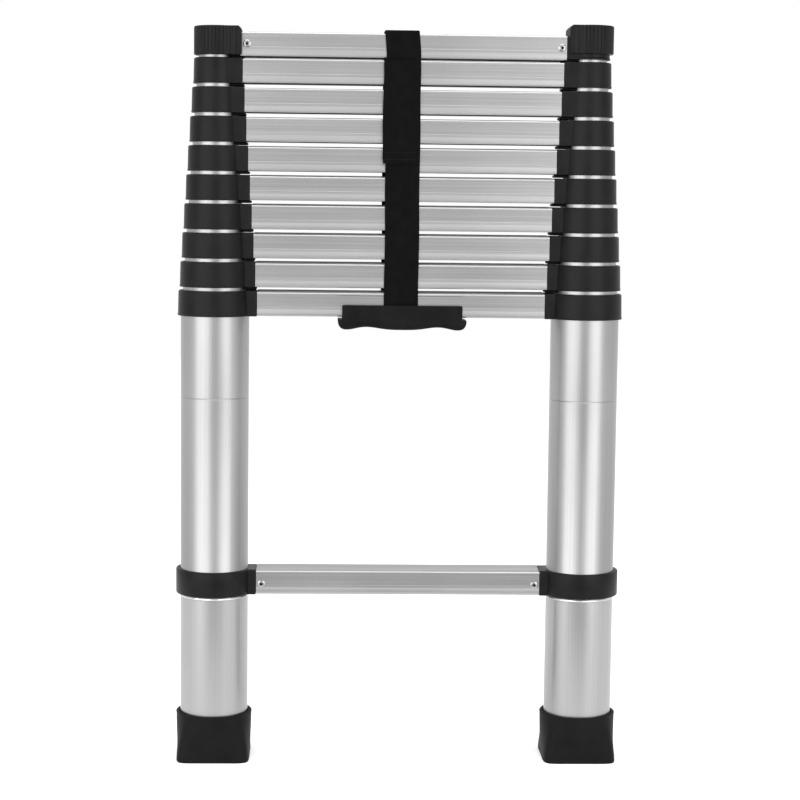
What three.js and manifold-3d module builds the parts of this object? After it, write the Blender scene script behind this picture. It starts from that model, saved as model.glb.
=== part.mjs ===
// A telescoping ladder, collapsed: two stiles of ten nested aluminium tubes, joined at every section
// by a hollow rung, with moulded collars, ribbed end caps, rubber boots and a carry strap.
// Millimetres, +Z up, +X to the ladder's right seen from the front, which faces -Y.
// The origin is on the floor, midway between the stiles. Sections are numbered from the base upwards.
import * as THREE from "three";
import { mergeVertices } from "three/addons/utils/BufferGeometryUtils.js";
import Module from "manifold-3d";

const wasm = await Module();
wasm.setup();

// Stiles and tubes
const SECTIONS = 10;
const STILE_X = 190.7; // from the middle of the ladder to a stile's axis
const BASE_RADIUS = 35; // outside of the base tube
const RADIUS_STEP = 1.932; // how much smaller each tube is than the one it slides in
const TUBE_WALL = 1.5;
const SLIDING_TUBE = 400; // length of every tube above the base
const GAP = 0.3; // clearance between neighbouring pieces
const ROUND = 20; // sides of every round shape

// Levels
const LEVEL_1 = 474.2; // middle of the base section's upper rung
const LEVEL_PITCH = 29.43; // from one collapsed rung to the next
const BASE_RUNG_LEVEL = 186.3;
const TOP_LEVEL_DROP = 2.7; // the top rung settles this much below the regular pitch

// Collars
const COLLAR_WALL = 2.91;
const COLLAR_HEIGHT = 26;
const COLLAR_LIP = 4; // inward lip over the end of the tube
const COLLAR_DRAFT = 0.4; // the ring is this much wider at its foot and narrower at its top
const BASE_COLLAR_RADIUS = 39.67;
const BLOCK_REACH = 6.54; // from the ring's outside to the rung
const BASE_BLOCK_REACH = 3.9;
const BLOCK_HALF_DEPTH = 18;
const TAB_HEIGHT = 2.6; // trip tab below each sliding section's block
const TAB_REACH = 2;
const TAB_HALF_DEPTH = 14;
const SPIGOT_LENGTH = 24; // plug inside the hollow rung

// Rungs
const RUNG_HALF_DEPTH = 17.3;
const RUNG_BOTTOM = -12.5;
const RUNG_FRONT_TOP = 12;
const RUNG_BACK_TOP = 13.4; // the tread slopes, to be level when the ladder leans
const RUNG_WALL = 1.8;
const RUNG_CORNER = 2;

// End caps
const CAP_RADIUS = 23.1;
const CAP_REACH = 25.3; // from the stile's axis to the flat side that faces the rung
const CAP_HALF_DEPTH = 20.5;
const CAP_HEIGHT = 29;
const CAP_BOTTOM = 725.2;
const RIGHT_CAP_LIFT = 5.7; // the right cap is not pushed fully home
const CAP_BEVEL = 1.2;
const CAP_CHAMFER = 3.5; // at the top, on the side of the rung
const RIBS = 28;
const RIB_DEPTH = 0.8;
const NECK_RADIUS = 20.2;

// Feet
const FOOT_RADIUS = 39.1;
const FOOT_HEIGHT = 48.4;
const FOOT_HALF_WIDTH = 37.2;
const FOOT_SQUARENESS = 8; // exponent of the superellipse of the sole
const FOOT_FLOOR = 8;

// Strap and handle
const STRAP_WIDTH = 35;
const STRAP_THICKNESS = 1.8;
const STRAP_CENTRE = -0.5;
const FLAP_WIDTH = 38;
const FLAP_CENTRE = -1.8;
const FLAP_BOTTOM = 618;
const FLAP_TOP = 733;
const HANDLE_CENTRE = 1.2;
const HANDLE_UPPER_HALF = 61.6;
const HANDLE_LOWER_HALF = 66;
const HANDLE_TOP = 473.9;
const HANDLE_STEP = 459.5; // where the grip steps out past the cradle's walls
const HANDLE_BOTTOM = 448.7;
const HANDLE_WAVE = 3.4; // height of the finger recesses beside the middle
const HANDLE_WALL = 3;

// Release slides, on the back of rung 1
const PIN_RADIUS = 3.5;
const PIN_CLEARANCE = 0.5;
const RELEASE_TRAVEL = 8;
const STEM_X = 84; // from the stile's axis to the stem's middle
const STEM_HALF = 4;
const PLATE_LENGTH = 27;
const PLATE_HEIGHT = 14;
const PLATE_THICKNESS = 4.5;
const GRIP_RIDGES = 5;

const material = (name, color, roughness, metalness) =>
  new THREE.MeshStandardMaterial({ name, color, roughness, metalness });
const TUBE_ALUMINIUM = material("tube_aluminium", 0xc9cacb, 0.38, 1);
const RUNG_ALUMINIUM = material("rung_aluminium", 0xbfc0c1, 0.42, 1);
const BLACK_PLASTIC = material("black_plastic", 0x1d1d1e, 0.5, 0);
const BLACK_RUBBER = material("black_rubber", 0x1a1a1b, 0.7, 0);
const WEBBING = material("webbing", 0x101011, 0.9, 0);

const tubeRadius = (section) => BASE_RADIUS - RADIUS_STEP * (section - 1);
const collarRadius = (section) => tubeRadius(section) + COLLAR_WALL;
const level = (section) =>
  LEVEL_1 + LEVEL_PITCH * (section - 1) - (section === SECTIONS ? TOP_LEVEL_DROP : 0);

// A closed geometry as a solid that can be joined and cut.
function solid(geometry) {
  const bare = geometry.clone();
  bare.deleteAttribute("normal");
  bare.deleteAttribute("uv");
  const merged = mergeVertices(bare, 1e-4);
  return new wasm.Manifold(
    new wasm.Mesh({
      numProp: 3,
      vertProperties: new Float32Array(merged.attributes.position.array),
      triVerts: new Uint32Array(merged.index.array),
    }),
  );
}

function geometryOf(made) {
  const mesh = made.getMesh();
  const geometry = new THREE.BufferGeometry();
  geometry.setAttribute("position", new THREE.BufferAttribute(mesh.vertProperties, 3));
  geometry.setIndex(new THREE.BufferAttribute(mesh.triVerts, 1));
  const flat = geometry.toNonIndexed();
  flat.computeVertexNormals();
  return flat;
}

function box(x0, x1, y0, y1, z0, z1) {
  const made = new THREE.BoxGeometry(x1 - x0, y1 - y0, z1 - z0);
  return made.translate((x0 + x1) / 2, (y0 + y1) / 2, (z0 + z1) / 2);
}

// A body of revolution about Z. The profile is [radius, height] pairs, anticlockwise seen from -Y.
function turned(profile) {
  const points = profile.map(([radius, height]) => new THREE.Vector2(radius, height));
  return new THREE.LatheGeometry(points, ROUND).rotateX(Math.PI / 2);
}

function ring(inner, outer, z0, z1) {
  return turned([[inner, z0], [outer, z0], [outer, z1], [inner, z1], [inner, z0]]);
}

function disc(radius, z0, z1) {
  return turned([[0, z0], [radius, z0], [radius, z1], [0, z1]]);
}

// A round bar along X, from x0 to x1.
function bar(radius, x0, x1, z) {
  const made = new THREE.CylinderGeometry(radius, radius, x1 - x0, ROUND / 2);
  return made.rotateZ(Math.PI / 2).translate((x0 + x1) / 2, 0, z);
}

// A closed body through rings of points. Each ring is a function of the angle that gives a radius.
function lofted(rings, sides) {
  const position = [];
  const index = [];
  for (const { z, radius } of rings) {
    for (let i = 0; i < sides; i++) {
      const angle = (2 * Math.PI * i) / sides;
      position.push(radius(angle) * Math.cos(angle), radius(angle) * Math.sin(angle), z);
    }
  }
  for (let k = 0; k + 1 < rings.length; k++) {
    for (let i = 0; i < sides; i++) {
      const a = k * sides + i;
      const b = k * sides + ((i + 1) % sides);
      index.push(a, b, b + sides, a, b + sides, a + sides);
    }
  }
  const last = (rings.length - 1) * sides;
  const first = position.length / 3;
  position.push(0, 0, rings[0].z, 0, 0, rings.at(-1).z);
  for (let i = 0; i < sides; i++) {
    const next = (i + 1) % sides;
    index.push(first, next, i, first + 1, last + i, last + next);
  }
  const geometry = new THREE.BufferGeometry();
  geometry.setAttribute("position", new THREE.Float32BufferAttribute(position, 3));
  geometry.setIndex(index);
  return geometry;
}

// A drawing in (Y, Z), with points in order, drawn out along X from x0 to x1.
function drawnAlongX(shape, x0, x1) {
  const made = new THREE.ExtrudeGeometry(shape, { depth: x1 - x0, bevelEnabled: false, curveSegments: 3 });
  return made.applyMatrix4(
    new THREE.Matrix4().set(0, 0, 1, x0, 1, 0, 0, 0, 0, 1, 0, 0, 0, 0, 0, 1),
  );
}

// The rung's section in (Y, Z), moved inwards by inset, with rounded corners.
function rungOutline(path, inset) {
  const front = -RUNG_HALF_DEPTH + inset;
  const back = RUNG_HALF_DEPTH - inset;
  const bottom = RUNG_BOTTOM + inset;
  const corner = Math.max(RUNG_CORNER - inset, 0.4);
  path.moveTo(front + corner, bottom);
  path.lineTo(back - corner, bottom);
  path.quadraticCurveTo(back, bottom, back, bottom + corner);
  path.lineTo(back, RUNG_BACK_TOP - inset - corner);
  path.quadraticCurveTo(back, RUNG_BACK_TOP - inset, back - corner, RUNG_BACK_TOP - inset);
  path.lineTo(front + corner, RUNG_FRONT_TOP - inset);
  path.quadraticCurveTo(front, RUNG_FRONT_TOP - inset, front, RUNG_FRONT_TOP - inset - corner);
  path.lineTo(front, bottom + corner);
  path.quadraticCurveTo(front, bottom, front + corner, bottom);
  return path;
}

function rung(halfLength) {
  const section = rungOutline(new THREE.Shape(), 0);
  section.holes.push(rungOutline(new THREE.Path(), RUNG_WALL));
  return drawnAlongX(section, -halfLength, halfLength);
}

// Rung 1 has a slot in its back wall at each end, for the release slides' stems.
function slottedRung(halfLength) {
  let made = solid(rung(halfLength));
  for (const side of [-1, 1]) {
    const near = STILE_X - STEM_X + STEM_HALF + PIN_CLEARANCE;
    const far = near - 2 * STEM_HALF - RELEASE_TRAVEL - 2 * PIN_CLEARANCE;
    const ends = [side * near, side * far].sort((a, b) => a - b);
    const half = STEM_HALF + PIN_CLEARANCE;
    made = made.subtract(solid(box(...ends, RUNG_HALF_DEPTH - 4, RUNG_HALF_DEPTH + 4, -half, half)));
  }
  return geometryOf(made);
}

// A tube of the left stile, about its own axis.
function tube(section) {
  const outer = tubeRadius(section);
  const top = level(section) + COLLAR_HEIGHT / 2 - COLLAR_LIP - GAP;
  const bottom = section === 1 ? FOOT_FLOOR + GAP : top - SLIDING_TUBE;
  return ring(outer - TUBE_WALL, outer, bottom, top);
}

// The base tube has a hole near its top, where the lock pin reaches the next tube.
function baseTube() {
  const hole = bar(PIN_RADIUS + PIN_CLEARANCE, BASE_RADIUS - 8, BASE_RADIUS + 8, level(1));
  return geometryOf(solid(tube(1)).subtract(solid(hole)));
}

// The block between a ring and its rung, with the plug that goes into the hollow rung.
function rungBlock(reach, start, z, below = 0) {
  const half = COLLAR_HEIGHT / 2;
  const plug = RUNG_WALL + GAP;
  const block = solid(box(start, reach, -BLOCK_HALF_DEPTH, BLOCK_HALF_DEPTH, z - half, z + half));
  const spigot = box(
    reach - 1,
    reach + SPIGOT_LENGTH,
    -RUNG_HALF_DEPTH + plug,
    RUNG_HALF_DEPTH - plug,
    z + RUNG_BOTTOM + plug,
    z + RUNG_FRONT_TOP - plug,
  );
  let made = block.add(solid(spigot));
  if (below > 0) {
    const root = box(start, reach, -TAB_HALF_DEPTH, TAB_HALF_DEPTH, z - half - below, z - half + 1);
    const tab = box(start, reach + TAB_REACH, -TAB_HALF_DEPTH, TAB_HALF_DEPTH, z - half - below, z - half);
    made = made.add(solid(root)).add(solid(tab));
  }
  return made;
}

// The collar at the top of a section's tube. The next tube slides through it.
function collar(section) {
  const radius = collarRadius(section);
  const z = level(section);
  const bottom = z - COLLAR_HEIGHT / 2;
  const top = z + COLLAR_HEIGHT / 2;
  const around = disc(radius + COLLAR_DRAFT, bottom, bottom + 2);
  const body = turned([
    [0, bottom + 1],
    [radius + COLLAR_DRAFT, bottom + 1],
    [radius - COLLAR_DRAFT, top - 1],
    [radius - 1 - COLLAR_DRAFT, top],
    [0, top],
  ]);
  const below = section > 1 ? TAB_HEIGHT : 0;
  const block = rungBlock(radius + BLOCK_REACH, radius - 9, z, below);
  const seat = disc(tubeRadius(section) + GAP, bottom - 10, top - COLLAR_LIP);
  const bore = disc(tubeRadius(section + 1) + GAP, bottom - 10, top + 10);
  let made = solid(body).add(solid(around)).add(block).subtract(solid(seat)).subtract(solid(bore));
  if (section === 1) {
    const pin = bar(PIN_RADIUS + PIN_CLEARANCE, 20, radius + BLOCK_REACH + SPIGOT_LENGTH + 1, z);
    made = made.subtract(solid(pin));
  }
  return geometryOf(made);
}

// The collar low on the base tube, which carries the base rung.
function baseCollar() {
  const half = COLLAR_HEIGHT / 2;
  const body = disc(BASE_COLLAR_RADIUS, BASE_RUNG_LEVEL - half, BASE_RUNG_LEVEL + half);
  const block = rungBlock(BASE_COLLAR_RADIUS + BASE_BLOCK_REACH, BASE_COLLAR_RADIUS - 9, BASE_RUNG_LEVEL);
  const bore = disc(BASE_RADIUS + GAP, BASE_RUNG_LEVEL - 20, BASE_RUNG_LEVEL + 20);
  return geometryOf(solid(body).add(block).subtract(solid(bore)));
}

// The cap's outline is a circle joined to a box that reaches the rung, with flutes all round.
function capRadius(angle) {
  const c = Math.cos(angle);
  const s = Math.abs(Math.sin(angle));
  const toSide = c > 0 ? CAP_REACH / c : Infinity;
  const toFace = s > 0 ? CAP_HALF_DEPTH / s : Infinity;
  const boxed = c > 0 ? Math.min(toSide, toFace) : 0;
  return Math.max(CAP_RADIUS, boxed);
}

function fluted(angle) {
  return capRadius(angle) - RIB_DEPTH * (0.5 - 0.5 * Math.cos(RIBS * angle));
}

// The end of the top section: its connector, which carries the top rung, and the ribbed cap over it.
function topCap(lift) {
  const z = level(SECTIONS);
  const bottom = z - COLLAR_HEIGHT / 2;
  const capBottom = CAP_BOTTOM + lift;
  const capTop = capBottom + CAP_HEIGHT;
  const cap = lofted(
    [
      { z: capBottom, radius: fluted },
      { z: capTop - CAP_BEVEL, radius: fluted },
      { z: capTop, radius: (angle) => capRadius(angle) - CAP_BEVEL - RIB_DEPTH },
    ],
    2 * RIBS,
  );
  const chamfer = box(-CAP_CHAMFER, CAP_CHAMFER, -40, 40, -CAP_CHAMFER, CAP_CHAMFER);
  chamfer.rotateY(Math.PI / 4).translate(CAP_REACH + 0.8, 0, capTop + 0.8);
  const neck = disc(NECK_RADIUS, bottom, capBottom + 2);
  const block = rungBlock(CAP_REACH - 0.5, 5, z);
  const rungRoom = box(CAP_REACH - 0.2, 60, -40, 40, bottom, z + RUNG_BACK_TOP + GAP);
  const seat = disc(tubeRadius(SECTIONS) + GAP, bottom - 10, z + COLLAR_HEIGHT / 2 - COLLAR_LIP);
  const shell = solid(cap).subtract(solid(chamfer)).subtract(solid(rungRoom));
  return geometryOf(shell.add(solid(neck)).add(block).subtract(solid(seat)));
}

// A rubber boot: round at its rim, nearly square at its sole.
function foot() {
  const sole = (angle) => {
    const c = Math.abs(Math.cos(angle)) ** FOOT_SQUARENESS;
    const s = Math.abs(Math.sin(angle)) ** FOOT_SQUARENESS;
    return FOOT_HALF_WIDTH / (c + s) ** (1 / FOOT_SQUARENESS);
  };
  const between = (share, less) => (angle) =>
    share * sole(angle) + (1 - share) * FOOT_RADIUS - less;
  const inside = () => BASE_RADIUS + GAP;
  return lofted(
    [
      { z: 0, radius: between(1, 1) },
      { z: 1.5, radius: between(1, 0) },
      { z: FOOT_HEIGHT * 0.35, radius: between(0.75, 0) },
      { z: FOOT_HEIGHT * 0.7, radius: between(0.2, 0) },
      { z: FOOT_HEIGHT - 1, radius: between(0, 0) },
      { z: FOOT_HEIGHT, radius: between(0, 1) },
      { z: FOOT_HEIGHT, radius: inside },
      { z: FOOT_FLOOR, radius: inside },
    ],
    ROUND,
  );
}

// The front of the handle: an upper cradle wall, and a wider grip with a waved underside.
function handleOutline() {
  const outline = new THREE.Shape();
  const corner = 8;
  outline.moveTo(-HANDLE_UPPER_HALF, HANDLE_TOP);
  outline.lineTo(-HANDLE_UPPER_HALF, HANDLE_STEP);
  outline.lineTo(-HANDLE_LOWER_HALF, HANDLE_STEP);
  outline.quadraticCurveTo(-HANDLE_LOWER_HALF, HANDLE_BOTTOM, -HANDLE_LOWER_HALF + corner, HANDLE_BOTTOM);
  const waves = 12;
  const half = HANDLE_LOWER_HALF - corner;
  for (let i = 1; i <= waves; i++) {
    const share = i / waves;
    const lift = HANDLE_WAVE * Math.sin(2 * Math.PI * share) ** 2;
    outline.lineTo(-half + 2 * half * share, HANDLE_BOTTOM + lift);
  }
  outline.quadraticCurveTo(HANDLE_LOWER_HALF, HANDLE_BOTTOM, HANDLE_LOWER_HALF, HANDLE_STEP);
  outline.lineTo(HANDLE_UPPER_HALF, HANDLE_STEP);
  outline.lineTo(HANDLE_UPPER_HALF, HANDLE_TOP);
  outline.closePath();
  return outline;
}

const strapInside = RUNG_HALF_DEPTH + GAP;
const strapOutside = strapInside + STRAP_THICKNESS;
const strapLow = level(1) + RUNG_BOTTOM - GAP;
const strapHigh = level(SECTIONS) + RUNG_BACK_TOP + GAP;

function handle() {
  const inner = strapOutside + GAP;
  const depth = 2 * (inner + HANDLE_WALL);
  const block = new THREE.ExtrudeGeometry(handleOutline(), { depth, bevelEnabled: false, curveSegments: 6 });
  block.rotateX(Math.PI / 2).translate(0, depth / 2, 0);
  const channel = box(-90, 90, -inner, inner, strapLow - STRAP_THICKNESS - GAP, HANDLE_TOP + 10);
  return geometryOf(solid(block).subtract(solid(channel)));
}

// The loop of webbing round all the collapsed rungs and the handle.
function strap() {
  const outline = new THREE.Shape();
  const high = strapHigh + STRAP_THICKNESS;
  const low = strapLow - STRAP_THICKNESS;
  outline.moveTo(-strapOutside, low);
  outline.lineTo(strapOutside, low);
  outline.lineTo(strapOutside, high);
  outline.lineTo(-strapOutside, high);
  outline.closePath();
  const hole = new THREE.Path();
  hole.moveTo(-strapInside, strapLow);
  hole.lineTo(-strapInside, strapHigh);
  hole.lineTo(strapInside, strapHigh);
  hole.lineTo(strapInside, strapLow);
  hole.closePath();
  outline.holes.push(hole);
  return drawnAlongX(outline, STRAP_CENTRE - STRAP_WIDTH / 2, STRAP_CENTRE + STRAP_WIDTH / 2);
}

function flap() {
  const face = -strapOutside - GAP;
  const half = FLAP_WIDTH / 2;
  return box(FLAP_CENTRE - half, FLAP_CENTRE + half, face - STRAP_THICKNESS, face, FLAP_BOTTOM, FLAP_TOP);
}

// A lock pin inside rung 1, with the stem and thumb plate that draw it back.
function releaseSlide() {
  const z = level(1);
  const tip = tubeRadius(2) + GAP;
  const plateY = RUNG_HALF_DEPTH + GAP;
  const pin = bar(PIN_RADIUS, tip, STEM_X + STEM_HALF, z);
  const stem = box(STEM_X - STEM_HALF, STEM_X + STEM_HALF, -STEM_HALF, plateY + 1, z - STEM_HALF, z + STEM_HALF);
  const plate = box(
    STEM_X - PLATE_LENGTH / 2,
    STEM_X + PLATE_LENGTH / 2,
    plateY,
    plateY + PLATE_THICKNESS,
    z - PLATE_HEIGHT / 2,
    z + PLATE_HEIGHT / 2,
  );
  let made = solid(pin).add(solid(stem)).add(solid(plate));
  for (let i = 0; i < GRIP_RIDGES; i++) {
    const x = STEM_X + 4 * (i - (GRIP_RIDGES - 1) / 2);
    const groove = box(x - 0.9, x + 0.9, plateY + PLATE_THICKNESS - 1.2, 60, z - 20, z + 20);
    made = made.subtract(solid(groove));
  }
  return geometryOf(made);
}

const ladder = new THREE.Group();

function place(parent, name, geometry, look) {
  const mesh = new THREE.Mesh(geometry, look.clone());
  mesh.name = name;
  parent.add(mesh);
}

// The left stile is drawn about its own axis with the rungs towards +X. The right one is its mirror image.
for (const side of ["left", "right"]) {
  const stile = new THREE.Group();
  const sign = side === "left" ? -1 : 1;
  stile.position.x = sign * STILE_X;
  stile.scale.x = -sign;
  ladder.add(stile);
  place(stile, `${side}_foot`, foot(), BLACK_RUBBER);
  place(stile, `${side}_base_collar`, baseCollar(), BLACK_PLASTIC);
  place(stile, `${side}_tube_1`, baseTube(), TUBE_ALUMINIUM);
  for (let section = 2; section <= SECTIONS; section++) {
    place(stile, `${side}_tube_${section}`, tube(section), TUBE_ALUMINIUM);
  }
  for (let section = 1; section < SECTIONS; section++) {
    place(stile, `${side}_collar_${section}`, collar(section), BLACK_PLASTIC);
  }
  place(stile, `${side}_top_cap`, topCap(side === "left" ? 0 : RIGHT_CAP_LIFT), BLACK_PLASTIC);
  place(stile, `${side}_release_slide`, releaseSlide(), BLACK_PLASTIC);
}

const rungs = [{ name: "base_rung", z: BASE_RUNG_LEVEL, stileToRung: BASE_COLLAR_RADIUS + BASE_BLOCK_REACH }];
for (let section = 1; section < SECTIONS; section++) {
  const stileToRung = collarRadius(section) + BLOCK_REACH;
  rungs.push({ name: `rung_${section}`, z: level(section), stileToRung });
}
rungs.push({ name: `rung_${SECTIONS}`, z: level(SECTIONS), stileToRung: CAP_REACH });
for (const { name, z, stileToRung } of rungs) {
  const halfLength = STILE_X - stileToRung - GAP;
  const geometry = name === "rung_1" ? slottedRung(halfLength) : rung(halfLength);
  place(ladder, name, geometry.translate(0, 0, z), RUNG_ALUMINIUM);
}

place(ladder, "carry_handle", handle().translate(HANDLE_CENTRE, 0, 0), BLACK_PLASTIC);
place(ladder, "carry_strap", strap(), WEBBING);
place(ladder, "strap_flap", flap(), WEBBING);

export default ladder;
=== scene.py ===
import math

import bmesh
import bpy
from mathutils import Matrix, Vector


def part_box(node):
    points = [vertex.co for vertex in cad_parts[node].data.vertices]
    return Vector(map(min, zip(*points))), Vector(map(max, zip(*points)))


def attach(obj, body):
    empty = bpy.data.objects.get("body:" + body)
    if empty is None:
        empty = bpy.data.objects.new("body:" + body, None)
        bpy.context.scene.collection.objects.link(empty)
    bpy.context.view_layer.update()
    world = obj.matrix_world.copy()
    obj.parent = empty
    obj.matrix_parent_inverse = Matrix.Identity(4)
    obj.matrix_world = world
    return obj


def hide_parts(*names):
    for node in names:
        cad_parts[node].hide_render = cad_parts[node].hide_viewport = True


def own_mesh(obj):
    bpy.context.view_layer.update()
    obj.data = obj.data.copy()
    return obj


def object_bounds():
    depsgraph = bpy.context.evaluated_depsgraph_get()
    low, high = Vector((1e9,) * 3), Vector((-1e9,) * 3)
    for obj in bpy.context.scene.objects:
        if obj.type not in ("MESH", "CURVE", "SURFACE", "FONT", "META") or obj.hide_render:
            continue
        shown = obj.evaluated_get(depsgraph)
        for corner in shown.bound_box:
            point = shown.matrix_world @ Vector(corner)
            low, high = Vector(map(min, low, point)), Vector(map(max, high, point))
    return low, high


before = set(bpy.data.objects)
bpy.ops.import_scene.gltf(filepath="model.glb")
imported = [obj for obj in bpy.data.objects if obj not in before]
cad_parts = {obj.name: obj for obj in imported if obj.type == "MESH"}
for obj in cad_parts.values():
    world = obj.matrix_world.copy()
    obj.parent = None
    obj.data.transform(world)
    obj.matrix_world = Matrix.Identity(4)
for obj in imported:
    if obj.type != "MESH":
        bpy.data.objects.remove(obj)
cad_low, cad_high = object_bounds()

MM = 0.001
SECTIONS = 10
ROUND = 96  # sides of a tube or a boot
COLLAR_SIDES = 72  # sides of a collar's ring outside its block
CLEAR = 0.3 * MM  # gap between pieces that touch
NOISE_LOW, NOISE_HIGH = 0.3, 0.7  # the part of a noise texture's range that is used

# tubes
TUBE_WALL = 1.5 * MM
BEAD_LOW = 170.3 * MM  # the rolled bead on the base tube, under its collar
BEAD_HIGH = 172.8 * MM
GROOVE_MIDDLE = 377.5 * MM  # the fine groove half way up the base tube
GROOVE_DEPTH = 0.35 * MM

# collars and trip tabs
COLLAR_WALL = 2.91 * MM
COLLAR_HALF_HEIGHT = 13 * MM
COLLAR_LIP = 4 * MM
DRAFT = 0.4 * MM  # the collar is this much wider at its foot
BLOCK_HALF_DEPTH = 18 * MM
BLOCK_REACH = 5.3 * MM  # from a collar's ring to its rung
BASE_COLLAR_RADIUS = 39.67 * MM
BASE_BLOCK_REACH = 3.9 * MM
TAB_HEIGHT = 2.6 * MM
TAB_REACH = 1.4 * MM
TAB_HALF_DEPTH = 14 * MM
TAB_CORNER = 0.8 * MM

# rungs and rivets
RUNG_BELOW = 12.5 * MM  # from a rung's level down to its underside
RUNG_FRONT_ABOVE = 12 * MM  # from a rung's level up to the front edge of its tread
RUNG_WALL = 1.8 * MM
RUNG_CORNER = 1.6 * MM
RUNG_OVERHANG = 1.2 * MM  # how much longer each end of a rung is than in the CAD model
FACE_RECESS = 0.35 * MM
TREAD_RIDGES = 11
RIDGE_DEPTH = 0.6 * MM
RIVET_SIDES = 28

# caps
CAP_RADIUS = 23.1 * MM
CAP_REACH = 25.1 * MM
CAP_REACH_CHANGE = {"left": 1 * MM, "right": -1 * MM}
CAP_HALF_DEPTH = 20.5 * MM
CAP_HEIGHT = 29 * MM
CAP_BEVEL = 1.1 * MM
CAP_CHAMFER = 3.2 * MM
CAP_SHIFT = 1.0 * MM  # both caps sit this far to the right on their stiles
CAP_RIBS = 36
RIB_DEPTH = 0.75 * MM
STEPS_PER_RIB = 10
NECK_RADIUS = 20.2 * MM

# boots
BOOT_RADIUS = 39.1 * MM  # at the rim
BOOT_HALF_WIDTH = 37.7 * MM  # at the sole
BOOT_SQUARENESS = 8  # exponent of the sole's superellipse
BOOT_FLOOR = 8 * MM
SOLE_BARS = 7
SOLE_MARGIN = 5 * MM

# handle, strap and release slides
HANDLE_WALL = 3 * MM
WAVE_STEPS = 48  # along the handle's lower edge
STRAP_WIDTH = 35 * MM
STRAP_THICKNESS = 1.6 * MM
STRAP_BEND = 2.2 * MM
BACK_RUN_SHIFT = 2.2 * MM  # the strap's back run sits this far to the left of its front run
STRAP_LEAN = 2.0 * MM  # the front run leans this far to the left near its top
STRAP_LEAN_HEIGHT = 22 * MM
FLAP_WIDTH = 38 * MM
FLAP_SHORTER = 11 * MM  # at its top, than in the CAD model
STITCH_ROWS = (4 * MM, 11 * MM)  # above the flap's lower end
STITCHES_PER_ROW = 13
STITCH_PITCH = 2.4 * MM
STEM_X = 84 * MM  # from the stile's axis to the middle of a release slide
SLIDE_HALF_WIDTH = 13.5 * MM
SLIDE_HALF_HEIGHT = 7 * MM
GRIP_RIDGES = 5
GRIP_PITCH = 4 * MM
PIN_TAIL = 80 * MM  # from the stile's axis to the lock pin's inner end
PIN_RADIUS = 3.4 * MM
PIN_SIDES = 24

# studio
WALL_WHITE = 1.0
FLAG_GREY = 0.74
FLAG_WIDTH = 1.15
FLAG_NEAR, FLAG_FAR, FLAG_TOP = 0.5, 3.2, 0.45
FLOOR_SIZE = 8
FLOOR_GLOW = 0.14


# ---------------------------------------------------------------- mesh code

def add_loft(bm, rings, ends="closed"):
    """Joins rings of equal length. ends: closed (flat ends) or loop (the last ring joins the first)."""
    made = [[bm.verts.new(point) for point in ring] for ring in rings]
    pairs = list(zip(made, made[1:]))
    if ends == "loop":
        pairs.append((made[-1], made[0]))
    for a, b in pairs:
        for i in range(len(a)):
            j = (i + 1) % len(a)
            bm.faces.new((a[i], a[j], b[j], b[i]))
    if ends == "closed":
        bm.faces.new(made[0])
        bm.faces.new(made[-1])


def circle(centre_x, radius, z, inward):
    """A ring of points round an upright axis, mirrored in x where inward is -1."""
    steps = [2 * math.pi * i / ROUND for i in range(ROUND)]
    return [(centre_x + inward * radius * math.cos(t), radius * math.sin(t), z) for t in steps]


def rounded_box(bm, low, high, radius):
    """A box with chamfered edges, drawn as a loft along Z."""
    x0, y0, z0 = low
    x1, y1, z1 = high

    def ring(inset, z):
        corners = [(x1, y1, 0), (x0, y1, 1), (x0, y0, 2), (x1, y0, 3)]
        points = []
        for x, y, quarter in corners:
            cx = x - math.copysign(radius, x - (x0 + x1) / 2)
            cy = y - math.copysign(radius, y - (y0 + y1) / 2)
            for step in range(4):
                angle = (quarter + step / 3) * math.pi / 2
                reach = radius - inset
                points.append((cx + reach * math.cos(angle), cy + reach * math.sin(angle), z))
        return points

    stations = [(0.9, 0), (0.35, 0.35), (0, 0.9)]
    rings = [ring(radius * inset, z0 + radius * rise) for inset, rise in stations]
    rings += [ring(radius * inset, z1 - radius * rise) for inset, rise in reversed(stations)]
    add_loft(bm, rings)


def piece(name, bm, look, body, nodes=(), smooth=30):
    """Turns bm into a mesh that rides on a body and stands for the CAD nodes named."""
    bmesh.ops.remove_doubles(bm, verts=bm.verts, dist=1e-6)
    bmesh.ops.recalc_face_normals(bm, faces=bm.faces)
    mesh = bpy.data.meshes.new(name)
    bm.to_mesh(mesh)
    bm.free()
    for face in mesh.polygons:
        face.use_smooth = True
    mesh.set_sharp_from_angle(angle=math.radians(smooth))
    made = bpy.data.objects.new(name, mesh)
    bpy.context.scene.collection.objects.link(made)
    made.data.materials.append(look["material"])
    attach(made, body)
    if nodes:
        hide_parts(*nodes)
    return made


# ---------------------------------------------------------------- materials

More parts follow.
